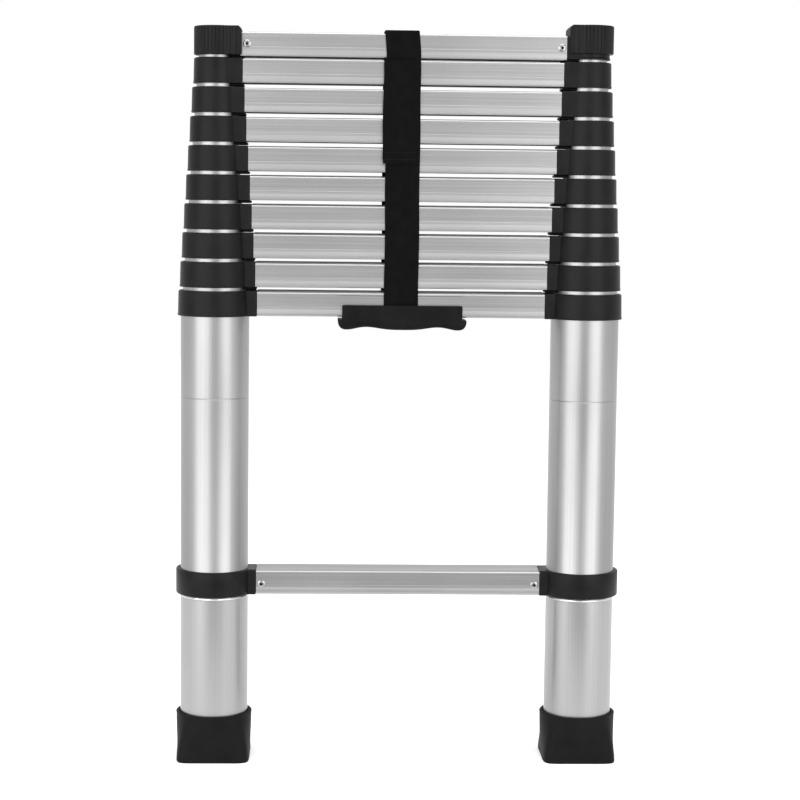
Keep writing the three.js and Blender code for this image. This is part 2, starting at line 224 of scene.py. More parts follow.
class Nodes:
    """A short way to write a material's node tree."""

    def __init__(self, name):
        self.material = bpy.data.materials.new(name)
        self.material.use_nodes = True
        self.tree = self.material.node_tree
        self.shader = self.tree.nodes["Principled BSDF"]
        self.place = self.add("ShaderNodeTexCoord").outputs["Object"]

    def add(self, kind, values=None, **settings):
        node = self.tree.nodes.new(kind)
        for key, value in settings.items():
            setattr(node, key, value)
        for socket, value in (values or {}).items():
            if isinstance(value, bpy.types.NodeSocket):
                self.tree.links.new(value, node.inputs[socket])
            else:
                node.inputs[socket].default_value = value
        return node

    def noise(self, stretch, scale=1.0, detail=3.0):
        mapped = self.add("ShaderNodeMapping", {"Vector": self.place, "Scale": stretch})
        texture = self.add(
            "ShaderNodeTexNoise",
            {"Vector": mapped.outputs["Vector"], "Scale": scale, "Detail": detail},
        )
        return texture.outputs["Fac"]

    def wave(self, axis, period):
        texture = self.add(
            "ShaderNodeTexWave",
            {"Vector": self.place, "Scale": math.pi / 10 / period, "Distortion": 0.0},
            wave_type="BANDS",
            bands_direction=axis,
        )
        return texture.outputs["Fac"]

    def spread(self, factor, low, high):
        made = self.add(
            "ShaderNodeMapRange",
            {
                "Value": factor,
                "From Min": NOISE_LOW,
                "From Max": NOISE_HIGH,
                "To Min": low,
                "To Max": high,
            },
        )
        return made.outputs["Result"]

    def colours(self, factor, first, second):
        ramp = self.tree.nodes.new("ShaderNodeValToRGB")
        self.tree.links.new(factor, ramp.inputs["Fac"])
        stops = ((NOISE_LOW, first), (NOISE_HIGH, second))
        for element, (position, colour) in zip(ramp.color_ramp.elements, stops):
            element.position = position
            element.color = (*colour, 1)
        return ramp.outputs["Color"]

    def bump(self, height, distance, strength, under=None):
        values = {"Height": height, "Distance": distance, "Strength": strength}
        if under is not None:
            values["Normal"] = under
        return self.add("ShaderNodeBump", values).outputs["Normal"]

    def wire(self, socket, output):
        self.tree.links.new(output, self.shader.inputs[socket])

    def set(self, **values):
        for socket, value in values.items():
            self.shader.inputs[socket.replace("_", " ")].default_value = value


def aluminium_grey(value):
    return value, value, value + 0.002


def brushed_aluminium(name, slot, stretch, light, dark, roughness):
    """Satin aluminium whose fine draw lines run along one axis."""
    n = Nodes(name)
    lines = n.noise(stretch, detail=4)
    cloud = n.noise((9, 9, 9), detail=2)
    n.wire("Base Color", n.colours(lines, dark, light))
    n.wire("Roughness", n.spread(cloud, roughness - 0.03, roughness + 0.04))
    n.wire("Normal", n.bump(lines, 0.00003, 0.6))
    n.set(Metallic=1.0)
    return {"material": n.material, "slot": slot}


def moulded(name, slot, colour, roughness, grain, depth, specular):
    """Black moulded plastic or rubber with a fine spark-eroded grain and faint scuffs."""
    n = Nodes(name)
    fine = n.noise((1, 1, 1), scale=grain, detail=2)
    cloud = n.noise((1, 1, 1), scale=60, detail=4)
    lighter = tuple(1.7 * c for c in colour)
    n.wire("Base Color", n.colours(cloud, colour, lighter))
    n.wire("Roughness", n.spread(cloud, roughness - 0.05, roughness + 0.06))
    n.wire("Normal", n.bump(fine, depth, 0.5))
    n.set(Specular_IOR_Level=specular)
    return {"material": n.material, "slot": slot}


def woven(name, slot, colour):
    """Webbing: fine cross ribs, with long yarns over them."""
    n = Nodes(name)
    ribs = n.wave("Z", 1.1 * MM)
    yarns = n.wave("X", 1.7 * MM)
    fuzz = n.noise((1, 1, 1), scale=1800, detail=3)
    cloud = n.noise((1, 1, 1), scale=90, detail=3)
    first = n.bump(ribs, 0.0002, 0.7)
    second = n.bump(yarns, 0.00012, 0.6, first)
    n.wire("Normal", n.bump(fuzz, 0.0001, 0.6, second))
    lighter = tuple(1.6 * c for c in colour)
    n.wire("Base Color", n.colours(cloud, colour, lighter))
    n.set(Roughness=0.9, Specular_IOR_Level=0.05, Sheen_Weight=0.01, Sheen_Roughness=0.5)
    return {"material": n.material, "slot": slot}


# the noise is stretched along the draw lines, which run up a tube and along a rung
ALONG_Z = (700, 700, 3)
ALONG_X = (3, 700, 700)
STILE = brushed_aluminium(
    "stile_aluminium", "stile_aluminium", ALONG_Z, aluminium_grey(0.345), aluminium_grey(0.315), 0.34
)
RUNG = brushed_aluminium(
    "rung_aluminium", "rung_aluminium", ALONG_X, aluminium_grey(0.346), aluminium_grey(0.285), 0.33
)
# painted light: a lighter, rougher copy of the rung's aluminium whose tone stands in for the light on the
# treads; the top rung's underside gets it too
TREAD = brushed_aluminium(
    "lit_tread_aluminium", "rung_aluminium", (3, 500, 500), aluminium_grey(0.36), aluminium_grey(0.29), 0.45
)
# painted shade: a near black copy of the rung's aluminium for the undersides of the rungs, dark as the gaps
# between them
SHADED_UNDERSIDE = brushed_aluminium(
    "shaded_underside_aluminium", "rung_aluminium", (3, 300, 300), (0.07, 0.07, 0.07), (0.045, 0.045, 0.045), 0.6
)
# painted sheen: a lighter copy of the rung's aluminium for the lower band of each rung's face and its bottom
# edge
BAND = brushed_aluminium(
    "sheen_band_aluminium", "rung_aluminium", ALONG_X, aluminium_grey(0.41), aluminium_grey(0.35), 0.33
)
# painted highlight: a much lighter copy of the stile's aluminium for the rolled bead on the base tube
BEAD_HIGHLIGHT = brushed_aluminium(
    "bead_highlight_aluminium", "stile_aluminium", ALONG_Z, aluminium_grey(0.68), aluminium_grey(0.61), 0.25
)
# painted highlight: a lighter copy of the rung's aluminium along the rounded front top edge of each rung,
# where it catches the light
HIGHLIGHT_EDGE = brushed_aluminium(
    "highlight_edge_aluminium", "rung_aluminium", ALONG_X, aluminium_grey(0.45), aluminium_grey(0.38), 0.3
)
RIVET = brushed_aluminium(
    "rivet_aluminium", "rung_aluminium", (400, 400, 400), aluminium_grey(0.36), aluminium_grey(0.28), 0.22
)
COLLAR = moulded("collar_plastic", "collar_plastic", (0.0034, 0.0034, 0.0035), 0.4, 2600, 0.00003, 0.13)
CAP = moulded("cap_plastic", "collar_plastic", (0.0032, 0.0032, 0.0033), 0.4, 2600, 0.00003, 0.13)
TAB = moulded("tab_plastic", "collar_plastic", (0.002, 0.002, 0.002), 0.5, 2600, 0.00003, 0.06)
RUBBER = moulded("boot_rubber", "boot_rubber", (0.0036, 0.0036, 0.0037), 0.55, 1500, 0.00006, 0.08)
HANDLE = moulded("handle_plastic", "handle_plastic", (0.0027, 0.0027, 0.0028), 0.46, 1200, 0.0001, 0.09)
WEBBING = woven("webbing", "webbing", (0.0023, 0.0023, 0.0024))
STITCH = moulded("stitch_thread", "webbing", (0.007, 0.007, 0.007), 0.7, 3000, 0.00002, 0.1)


# ---------------------------------------------------------------- places from the frame

def section_body(section):
    return "base" if section == 1 else f"section_{section}"


def tube_facts(side, section):
    """The axis, outer radius and ends of a tube."""
    low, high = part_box(f"{side}_tube_{section}")
    return {"x": (low.x + high.x) / 2, "radius": (high.y - low.y) / 2, "low": low.z, "high": high.z}


def inward_of(side):
    """The sign of x from a stile towards the rungs."""
    return 1 if side == "left" else -1


def rung_level(name):
    """The height that a rung's collars are centred on."""
    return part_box(name)[0].z + RUNG_BELOW


# ---------------------------------------------------------------- stiles

def tube(side, section):
    """A hollow stile tube. Only the base tube has the bead and the groove."""
    f = tube_facts(side, section)
    r = f["radius"]
    edge = 0.4 * MM
    profile = [(r - edge, f["low"]), (r, f["low"] + edge)]
    if section == 1:
        # a rolled bead under the base collar, and a fine groove half way up
        profile += [
            (r, BEAD_LOW - 0.7 * MM),
            (r + 0.7 * MM, BEAD_LOW),
            (r + 0.8 * MM, BEAD_LOW + 0.4 * MM),
            (r + 0.1 * MM, BEAD_HIGH),
            (r, BEAD_HIGH + 0.2 * MM),
            (r, GROOVE_MIDDLE - 0.6 * MM),
            (r - GROOVE_DEPTH, GROOVE_MIDDLE - 0.2 * MM),
            (r - GROOVE_DEPTH, GROOVE_MIDDLE + 0.2 * MM),
            (r, GROOVE_MIDDLE + 0.6 * MM),
        ]
    profile += [(r, f["high"] - edge), (r - edge, f["high"])]
    profile += [(r - TUBE_WALL, f["high"]), (r - TUBE_WALL, f["low"])]
    bm = bmesh.new()
    add_loft(bm, [circle(f["x"], radius, z, inward_of(side)) for radius, z in profile], "loop")
    body = section_body(section)
    made = piece(f"{side}_stile_tube_{section}", bm, STILE, body, [f"{side}_tube_{section}"])
    if section == 1:
        # the bead is painted much lighter, a painted highlight
        made.data.materials.append(BEAD_HIGHLIGHT["material"])
        for face in made.data.polygons:
            if BEAD_LOW < face.center.z < BEAD_HIGH:
                face.material_index = 1


def collar_outline(radius, half, reach):
    """The plan of a ring with a block, as (u, y) points. u runs from the stile's axis to the rung."""
    corner = 1.2 * MM
    start = math.asin(half / radius)
    points = []
    for i in range(COLLAR_SIDES + 1):
        angle = start + (2 * math.pi - 2 * start) * i / COLLAR_SIDES
        points.append((radius * math.cos(angle), radius * math.sin(angle)))
    for sign, first in ((-1, -90), (1, 0)):
        for step in range(4):
            angle = math.radians(first + 30 * step)
            u = reach - corner + corner * math.cos(angle)
            points.append((u, sign * (half - corner) + corner * math.sin(angle)))
    return points


def sleeve(bm, centre_x, inward, outer, inner):
    """A closed sleeve. outer: (radius, half, reach, z) upwards. inner: (radius, z) downwards."""
    rings = []
    for radius, half, reach, z in outer:
        plan = collar_outline(radius, half, reach)
        rings.append([(centre_x + inward * u, y, z) for u, y in plan])
    plan = collar_outline(*outer[-1][:3])
    for radius, z in inner:
        ring = []
        for u, y in plan:
            angle = math.atan2(y, u)
            ring.append((centre_x + inward * radius * math.cos(angle), radius * math.sin(angle), z))
        rings.append(ring)
    add_loft(bm, rings, "loop")


def collar(side, section):
    """The collar at the top of a tube, bored for the next one, with a block that meets the rung."""
    f = tube_facts(side, section)
    above = tube_facts(side, section + 1)
    level = rung_level(f"rung_{section}")
    radius = f["radius"] + COLLAR_WALL
    low, high = level - COLLAR_HALF_HEIGHT, level + COLLAR_HALF_HEIGHT
    reach = radius + BLOCK_REACH
    half = BLOCK_HALF_DEPTH
    lip = 1.9 * MM
    outer = [
        (radius + DRAFT - 0.5 * MM, half - 0.6 * MM, reach - 0.3 * MM, low),
        (radius + DRAFT, half, reach, low + 0.6 * MM),
        (radius + DRAFT, half, reach, low + lip),
        (radius + DRAFT - 0.35 * MM, half, reach, low + lip + 0.3 * MM),
        (radius - DRAFT, half, reach, high - 1.7 * MM),
        (radius - DRAFT - 0.25 * MM, half - 0.15 * MM, reach, high - 0.8 * MM),
        (radius - DRAFT - 0.8 * MM, half - 0.5 * MM, reach - 0.2 * MM, high - 0.25 * MM),
        (radius - DRAFT - 1.6 * MM, half - 1.1 * MM, reach - 0.5 * MM, high),
    ]
    bore = above["radius"] + CLEAR
    seat = f["radius"] + CLEAR
    inner = [
        (bore + 0.6 * MM, high),
        (bore, high - 0.7 * MM),
        (bore, high - COLLAR_LIP),
        (seat, high - COLLAR_LIP),
        (seat, low),
    ]
    bm = bmesh.new()
    sleeve(bm, f["x"], inward_of(side), outer, inner)
    body = section_body(section)
    piece(f"{side}_stile_collar_{section}", bm, COLLAR, body, [f"{side}_collar_{section}"])
    if section > 1:
        ends = (radius - 8 * MM, reach + TAB_REACH)
        trip_tab(side, section, f["x"], ends, (low - TAB_HEIGHT, low - 0.05 * MM))


def trip_tab(side, section, axis_x, ends, heights):
    """The tab under a sliding section's block, which trips the lock of the section below."""
    x0, x1 = sorted(axis_x + inward_of(side) * end for end in ends)
    low, high = heights
    bm = bmesh.new()
    rounded_box(bm, (x0, -TAB_HALF_DEPTH, low), (x1, TAB_HALF_DEPTH, high), TAB_CORNER)
    piece(f"{side}_trip_tab_{section}", bm, TAB, section_body(section))


def base_collar(side):
    """The collar low on the base tube, which holds the base rung."""
    low, high = (v.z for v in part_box(f"{side}_base_collar"))
    f = tube_facts(side, 1)
    radius = BASE_COLLAR_RADIUS
    reach = radius + BASE_BLOCK_REACH
    half = BLOCK_HALF_DEPTH
    outer = [
        (radius - 1.1 * MM, half - 0.9 * MM, reach - 0.3 * MM, low),
        (radius - 0.35 * MM, half - 0.2 * MM, reach, low + 0.35 * MM),
        (radius, half, reach, low + 1.2 * MM),
        (radius, half, reach, high - 1.2 * MM),
        (radius - 0.35 * MM, half - 0.2 * MM, reach, high - 0.35 * MM),
        (radius - 1.1 * MM, half - 0.9 * MM, reach - 0.3 * MM, high),
    ]
    seat = f["radius"] + CLEAR
    edge = 0.8 * MM
    inner = [(seat + edge, high), (seat, high - edge), (seat, low + edge), (seat + edge, low)]
    bm = bmesh.new()
    sleeve(bm, f["x"], inward_of(side), outer, inner)
    piece(f"{side}_base_bracket", bm, COLLAR, "base", [f"{side}_base_collar"])


def boxed_radius(angle, radius, reach, half):
    """The radius of a circle joined to a box that reaches out along angle 0."""
    c = math.cos(angle)
    s = abs(math.sin(angle))
    if c <= 0:
        return radius
    boxed = min(reach / c, half / s if s > 1e-6 else math.inf)
    return max(radius, boxed)


def end_cap(side):
    """The ribbed cap pressed over the top of the stile, and the connector under it."""
    inward = inward_of(side)
    f = tube_facts(side, SECTIONS)
    low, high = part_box(f"{side}_top_cap")
    cap_low, cap_high = high.z - CAP_HEIGHT, high.z
    steps = CAP_RIBS * STEPS_PER_RIB
    reach = CAP_REACH + CAP_REACH_CHANGE[side]

    def ring(z, shrink, rib, tilt=0.0):
        points = []
        for i in range(steps):
            angle = 2 * math.pi * i / steps
            groove = max(0.0, math.cos(CAP_RIBS * angle)) ** 2
            r = boxed_radius(angle, CAP_RADIUS, reach, CAP_HALF_DEPTH) - shrink - rib * groove
            u = r * math.cos(angle)
            drop = max(0.0, u - (reach - CAP_CHAMFER)) * tilt
            points.append((f["x"] + CAP_SHIFT + inward * u, r * math.sin(angle), z - drop))
        return points

    bm = bmesh.new()
    bevel = CAP_BEVEL
    rings = [
        ring(cap_low, 1.0 * MM, 0),
        ring(cap_low + 0.4 * MM, 0.3 * MM, 0.2 * MM),
        ring(cap_low + 1.3 * MM, 0, RIB_DEPTH),
        ring(cap_high - 2.4 * MM, 0, RIB_DEPTH, 0.9),
        ring(cap_high - bevel, 0.1 * MM, RIB_DEPTH, 0.95),
        ring(cap_high - 0.4 * bevel, 0.4 * MM, 0.4 * RIB_DEPTH, 1),
        ring(cap_high - 0.1 * bevel, 1.1 * MM, 0, 1),
        ring(cap_high - 0.05 * bevel, CAP_CHAMFER, 0, 1),
        ring(cap_high - 0.05 * bevel, 8 * MM, 0, 0),
        ring(cap_high, 12 * MM, 0, 0),
    ]
    add_loft(bm, rings)
    piece(f"{side}_ribbed_cap", bm, CAP, f"section_{SECTIONS}", [f"{side}_top_cap"], smooth=40)

    bm = bmesh.new()
    half = BLOCK_HALF_DEPTH
    # the connector under the cap, with the block that holds the rung
    neck_low = low.z + 1.8 * MM
    neck_high = rung_level(f"rung_{SECTIONS}") + 11.5 * MM
    outer = [
        (NECK_RADIUS + 0.1 * MM, half - 0.4 * MM, CAP_REACH - 0.5 * MM, neck_low),
        (NECK_RADIUS + 0.6 * MM, half, CAP_REACH - 0.1 * MM, neck_low + 0.5 * MM),
        (NECK_RADIUS + 0.6 * MM, half, CAP_REACH - 0.1 * MM, neck_low + 1.6 * MM),
        (NECK_RADIUS, half, CAP_REACH - 0.1 * MM, neck_low + 2.2 * MM),
        (NECK_RADIUS, half, CAP_REACH - 0.1 * MM, neck_high),
    ]
    inner = [(f["radius"] + CLEAR, neck_high), (f["radius"] + CLEAR, neck_low)]
    sleeve(bm, f["x"], inward, outer, inner)
    piece(f"{side}_top_connector", bm, COLLAR, f"section_{SECTIONS}")
    ends = (NECK_RADIUS - 4 * MM, CAP_REACH + 4 * MM)
    trip_tab(side, SECTIONS, f["x"], ends, (low.z - 0.6 * MM, neck_low + 0.1 * MM))


def boot(side):
    """A rubber boot: round at its rim and nearly square at its ribbed sole."""
    low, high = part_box(f"{side}_foot")
    f = tube_facts(side, 1)
    inward = inward_of(side)
    half = BOOT_HALF_WIDTH
    height = high.z - low.z

    def ring(z, share, less):
        points = []
        for i in range(ROUND):
            angle = 2 * math.pi * i / ROUND
            c = abs(math.cos(angle)) ** BOOT_SQUARENESS
            s = abs(math.sin(angle)) ** BOOT_SQUARENESS
            square = half / (c + s) ** (1 / BOOT_SQUARENESS)
            r = share * square + (1 - share) * BOOT_RADIUS - less
            points.append((f["x"] + inward * r * math.cos(angle), r * math.sin(angle), low.z + z))
        return points

    seat = f["radius"] + CLEAR
    bm = bmesh.new()
    rings = [
        ring(1.5 * MM, 1, 4.6 * MM),
        ring(0, 1, 3.8 * MM),
        ring(0, 1, 0.8 * MM),
        ring(0.5 * MM, 1, 0.2 * MM),
        ring(1.6 * MM, 1, 0),
    ]
    for share_up in (0.15, 0.3, 0.45, 0.6, 0.75, 0.88):
        flatness = 1 - share_up
        rings.append(ring(height * share_up, flatness * flatness * (3 - 2 * flatness), 0))
    rings += [
        ring(height - 2.4 * MM, 0, 0),
        ring(height - 2.1 * MM, 0, -0.25 * MM),
        ring(height - 0.9 * MM, 0, -0.25 * MM),
        ring(height - 0.3 * MM, 0, 0.2 * MM),
        ring(height, 0, 0.9 * MM),
    ]
    flare = [
        (seat + 1.4 * MM, height),
        (seat + 0.7 * MM, height - 0.5 * MM),
        (seat, height - 2 * MM),
        (seat, BOOT_FLOOR),
    ]
    for radius, z in flare:
        rings.append(circle(f["x"], radius, low.z + z, inward))
    add_loft(bm, rings)
    pitch = 2 * (half - SOLE_MARGIN) / SOLE_BARS
    for i in range(SOLE_BARS):
        y = -half + SOLE_MARGIN + pitch * (i + 0.5)
        reach = half - (9 if i in (0, SOLE_BARS - 1) else 6.5) * MM
        rounded_box(
            bm,
            (f["x"] - reach, y - 0.33 * pitch, low.z),
            (f["x"] + reach, y + 0.33 * pitch, low.z + 2.5 * MM),
            0.5 * MM,
        )
    piece(f"{side}_rubber_boot", bm, RUBBER, "base", [f"{side}_foot"])


# ---------------------------------------------------------------- rungs

def rung_profile(low, high, level):
    """The outside of the rung's section as (y, z) points, anticlockwise from the front's bottom."""
    front, back = low.y, high.y
    bottom = low.z
    front_top, back_top = level + RUNG_FRONT_ABOVE, high.z
    c = RUNG_CORNER

    def corner(y, z, first):
        steps = [math.radians(first + 22.5 * i) for i in range(5)]
        return [(y + c * math.cos(a), z + c * math.sin(a)) for a in steps]

    points = corner(front + c, bottom + c, 180)
    points += [(front + 0.5 * (back - front), bottom)]
    points += corner(back - c, bottom + c, 270)
    points += corner(back - c, back_top - c, 0)
    tread = back - front - 2 * c - 3 * MM
    slope = (back_top - front_top) / (back - front)
    for i in range(TREAD_RIDGES):
        for across, down in ((0.05, 0), (0.25, 0), (0.32, 1), (0.98, 1)):
            along = (i + across) / TREAD_RIDGES
            y = back - c - 1.5 * MM - tread * along
            points.append((y, back_top - slope * (back - y) - RIDGE_DEPTH * down))
    points += corner(front + c, front_top - c, 90)
    inset = front + FACE_RECESS
    points += [
        (front, front_top - 2.6 * MM),
        (inset, front_top - 3.0 * MM),
        (inset, bottom + 10.2 * MM),
        (inset + 0.12 * MM, bottom + 10.0 * MM),
        (inset + 0.12 * MM, bottom + 9.7 * MM),
        (inset, bottom + 9.5 * MM),
        (inset, bottom + 7.2 * MM),
        (front + 0.22 * MM, bottom + 6.9 * MM),
    ]
    return points


def rung(name, piece_name, section):
    """A hollow rung with a ridged tread. Its tread, underside and two front lines have their own looks:
    painted light on the tread, painted shade on the underside, a painted highlight along the front top edge
    and a painted sheen on the lower band of the face.
    """
    low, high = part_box(name)
    level = rung_level(name)
    outside = rung_profile(low, high, level)
    y0, y1 = low.y + RUNG_WALL, high.y - RUNG_WALL
    z0, z1 = low.z + RUNG_WALL, level + RUNG_FRONT_ABOVE - RUNG_WALL
    inside = [(min(max(y, y0), y1), min(max(z, z0), z1)) for y, z in outside]
    longer = 0 if name in ("base_rung", f"rung_{SECTIONS}") else RUNG_OVERHANG
    x0, x1 = low.x - longer, high.x + longer
    stations = ((x0, outside), (x1, outside), (x1, inside), (x0, inside))
    rings = [[(x, y, z) for y, z in outline] for x, outline in stations]
    bm = bmesh.new()
    add_loft(bm, rings, "loop")
    made = piece(piece_name, bm, RUNG, section_body(section), [name], smooth=25)
    looks = {"tread": TREAD, "underside": SHADED_UNDERSIDE, "highlight_edge": HIGHLIGHT_EDGE, "band": BAND}
    for look in looks.values():
        made.data.materials.append(look["material"])
    index = {look: place + 1 for place, look in enumerate(looks)}
    for face in made.data.polygons:
        y, z = face.center.y, face.center.z
        at_front = y < low.y + 1.3 * MM
        at_bottom = z < low.z + 0.2 * MM
        # the front top edge is painted lighter, a painted highlight
        if at_front and z > level + 10.6 * MM:
            face.material_index = index["highlight_edge"]
        # the lower band of the face and its bottom edge are painted lighter, a painted sheen
        elif at_front and z < low.z + 7 * MM:
            face.material_index = index["band"]
        # the treads take this painted light, and so does the top rung's underside in place of the painted
        # shade
        # the gap under the top rung is lighter in the photo than the others
        elif z > level + 11 * MM or (at_bottom and section == SECTIONS):
            face.material_index = index["tread"]
        # the other undersides are painted near black, painted shade in the gaps between the rungs
        elif at_bottom:
            face.material_index = index["underside"]


def rivet(name, x, z, face, facing, body):
    """A blind rivet: a domed flange round a black disc, painted shade for the dark hole that its mandrel
    leaves.

    Both profiles are (radius, height) in millimetres.
    """
    flange = [(4.1, 0), (4, 0.35), (3.2, 0.85), (2.0, 1.15), (1.4, 1.05), (1.2, 0.4), (0.05, 0.4)]
    hole = [(1.3, 0.3), (1.28, 0.62), (0.7, 0.7), (0.05, 0.66)]

    def ring(radius, out):
        steps = [2 * math.pi * i / RIVET_SIDES for i in range(RIVET_SIDES)]
        y = face + facing * out * MM
        return [(x + radius * MM * math.cos(t), y, z + radius * MM * math.sin(t)) for t in steps]

    bm = bmesh.new()
    add_loft(bm, [ring(radius, out) for radius, out in flange])
    piece(name, bm, RIVET, body)
    bm = bmesh.new()
    # the hole is a black disc in the flange's shallow recess, painted shade
    add_loft(bm, [ring(radius, out) for radius, out in hole])
    piece(name + "_hole_shade", bm, TAB, body)


# ---------------------------------------------------------------- handle, strap and slides

def handle():
    """The moulded grip under rung 1, with its wavy lower edge and a channel for the strap."""
    low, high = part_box("carry_handle")
    centre = (low.x + high.x) / 2
    grip_half = (high.x - low.x) / 2
    cradle_half = grip_half - 4.4 * MM
    top, bottom = high.z, low.z
    step = bottom + 9.9 * MM
    wave = 2.9 * MM
    corner = 9 * MM

    def outline(inset):
        points = [
            (-cradle_half + 0.4 * inset, step),
            (-cradle_half + 0.4 * inset, top - 1 * MM),
            (-cradle_half + 1 * MM + 0.4 * inset, top),
            (cradle_half - 1 * MM - 0.4 * inset, top),
            (cradle_half - 0.4 * inset, top - 1 * MM),
            (cradle_half - 0.4 * inset, step),
        ]
        rim = grip_half - inset
        below = bottom + inset

        def bend(sign, share):
            start, between, end = (rim, step), (rim, below), (grip_half - corner, below)
            u, z = (
                (1 - share) ** 2 * start[i] + 2 * share * (1 - share) * between[i] + share**2 * end[i]
                for i in (0, 1)
            )
            return sign * u, z

        points += [bend(1, i / 10) for i in range(11)]
        half = grip_half - corner
        for i in range(1, WAVE_STEPS):
            across = 1 - 2 * i / WAVE_STEPS
            lift = wave * math.sin(math.pi * abs(across) ** 1.55) ** 2
            points.append((half * across, below + lift))
        points += [bend(-1, 1 - i / 10) for i in range(11)]
        return points

    def ring(y, inset):
        return [(centre + x, y, z) for x, z in outline(inset)]

    edges = [(0, 2.6), (0.5, 1.5), (1.4, 0.6), (2.8, 0.12), (4.5, 0)]
    rings = [ring(low.y + y * MM, inset * MM) for y, inset in edges]
    rings += [ring(high.y - y * MM, inset * MM) for y, inset in reversed(edges)]
    bm = bmesh.new()
    add_loft(bm, rings)
    made = piece("carry_grip", bm, HANDLE, "base", ["carry_handle"], smooth=35)

    cutter_mesh = bmesh.new()
    floor_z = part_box("carry_strap")[0].z - CLEAR
    rounded_box(
        cutter_mesh,
        (low.x - 0.02, low.y + HANDLE_WALL, floor_z),
        (high.x + 0.02, high.y - HANDLE_WALL, top + 0.02),
        1.5 * MM,
    )
    mesh = bpy.data.meshes.new("channel")
    bmesh.ops.recalc_face_normals(cutter_mesh, faces=cutter_mesh.faces)
    cutter_mesh.to_mesh(mesh)
    cutter_mesh.free()
    cutter = bpy.data.objects.new("channel", mesh)
    bpy.context.scene.collection.objects.link(cutter)
    cut = made.modifiers.new("channel", "BOOLEAN")
    cut.operation = "DIFFERENCE"
    cut.solver = "EXACT"
    cut.object = cutter
    bpy.context.view_layer.update()
    graph = bpy.context.evaluated_depsgraph_get()
    final = bpy.data.meshes.new_from_object(made.evaluated_get(graph))
    made.modifiers.clear()
    made.data = final
    bpy.data.objects.remove(cutter)


def band_section(width, thickness):
    """The section of webbing as (across, out) points, thinner along its selvedges."""
    w, t = width / 2, thickness / 2
    return [(-w, -0.35 * t), (-w + 1 * MM, -t), (w - 1 * MM, -t), (w, -0.35 * t),
            (w, 0.35 * t), (w - 1 * MM, t), (-w + 1 * MM, t), (-w, 0.35 * t)]


def strap():
    """The loop of webbing round the rungs. Its back run sits a little to the left of its front run."""
    low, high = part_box("carry_strap")
    half_y = (high.y - low.y) / 2 - STRAP_THICKNESS / 2
    z0, z1 = low.z + STRAP_THICKNESS / 2, high.z - STRAP_THICKNESS / 2
    bend = STRAP_BEND
    path = []

    def straight(a, b, count):
        for i in range(count):
            share = i / count
            path.append((a[0] + (b[0] - a[0]) * share, a[1] + (b[1] - a[1]) * share))

    def turn(y, z, first):
        for i in range(5):
            angle = math.radians(first + 18 * i)
            path.append((y + bend * math.cos(angle), z + bend * math.sin(angle)))

    straight((-half_y + bend, z0), (half_y - bend, z0), 8)
    turn(half_y - bend, z0 + bend, 270)
    straight((half_y, z0 + bend), (half_y, z1 - bend), 60)
    turn(half_y - bend, z1 - bend, 0)
    straight((half_y - bend, z1), (-half_y + bend, z1), 8)
    turn(-half_y + bend, z1 - bend, 90)
    straight((-half_y, z1 - bend), (-half_y, z0 + bend), 60)
    turn(-half_y + bend, z0 + bend, 180)

    front_x = (low.x + high.x) / 2 + 0.25 * MM
    rings = []
    length = 0.0
    count = len(path)
    for i, (y, z) in enumerate(path):
        before, after = path[i - 1], path[(i + 1) % count]
        length += math.dist(path[i - 1], path[i])
        direction = Vector((after[0] - before[0], after[1] - before[1])).normalized()
        out_y, out_z = direction.y, -direction.x
        back = (y + half_y) / (2 * half_y)
        rise = min(max((z - (z1 - STRAP_LEAN_HEIGHT)) / STRAP_LEAN_HEIGHT, 0), 1)
        x = front_x - BACK_RUN_SHIFT * back - STRAP_LEAN * rise * (1 - back)
        x += 0.25 * MM * math.sin(z * 61)
        section = band_section(STRAP_WIDTH, STRAP_THICKNESS)
        rings.append([(x + across, y + out * out_y, z + out * out_z) for across, out in section])
    bm = bmesh.new()
    add_loft(bm, rings, "loop")
    made = piece("strap_loop", bm, WEBBING, "base", ["carry_strap"], smooth=50)
    return made, length


def flap():
    """The strap's free end, doubled over the front run, with a stitched tip."""
    low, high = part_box("strap_flap")
    centre = (low.x + high.x) / 2
    y = (low.y + high.y) / 2
    length = high.z - FLAP_SHORTER - low.z
    count = 40
    rings = []
    for i in range(count + 1):
        share = i / count
        z = low.z + length * (1 - share)
        x = centre + 0.3 * MM - 1.0 * MM * share + 0.3 * MM * math.sin(9 * share)
        width = FLAP_WIDTH * (0.985 if share < 0.97 else 0.955)
        lift = 0.12 * MM * math.sin(7 * share)
        section = band_section(width, STRAP_THICKNESS)
        rings.append([(x + across, y + lift - out, z) for across, out in section])
    bm = bmesh.new()
    add_loft(bm, rings)
    made = piece("strap_flap_webbing", bm, WEBBING, "base", ["strap_flap"], smooth=50)
    bm = bmesh.new()
    face = low.y + 0.12 * MM
    for row in STITCH_ROWS:
        for i in range(STITCHES_PER_ROW):
            x = centre - 0.8 * MM + (i - STITCHES_PER_ROW // 2) * STITCH_PITCH
            z = low.z + row
            rounded_box(
                bm,
                (x - 0.85 * MM, face - 0.12 * MM, z - 0.22 * MM),
                (x + 0.85 * MM, face + 0.3 * MM, z + 0.22 * MM),
                0.2 * MM,
            )
    stitches = piece("strap_stitches", bm, STITCH, "base")
    return made, stitches, length


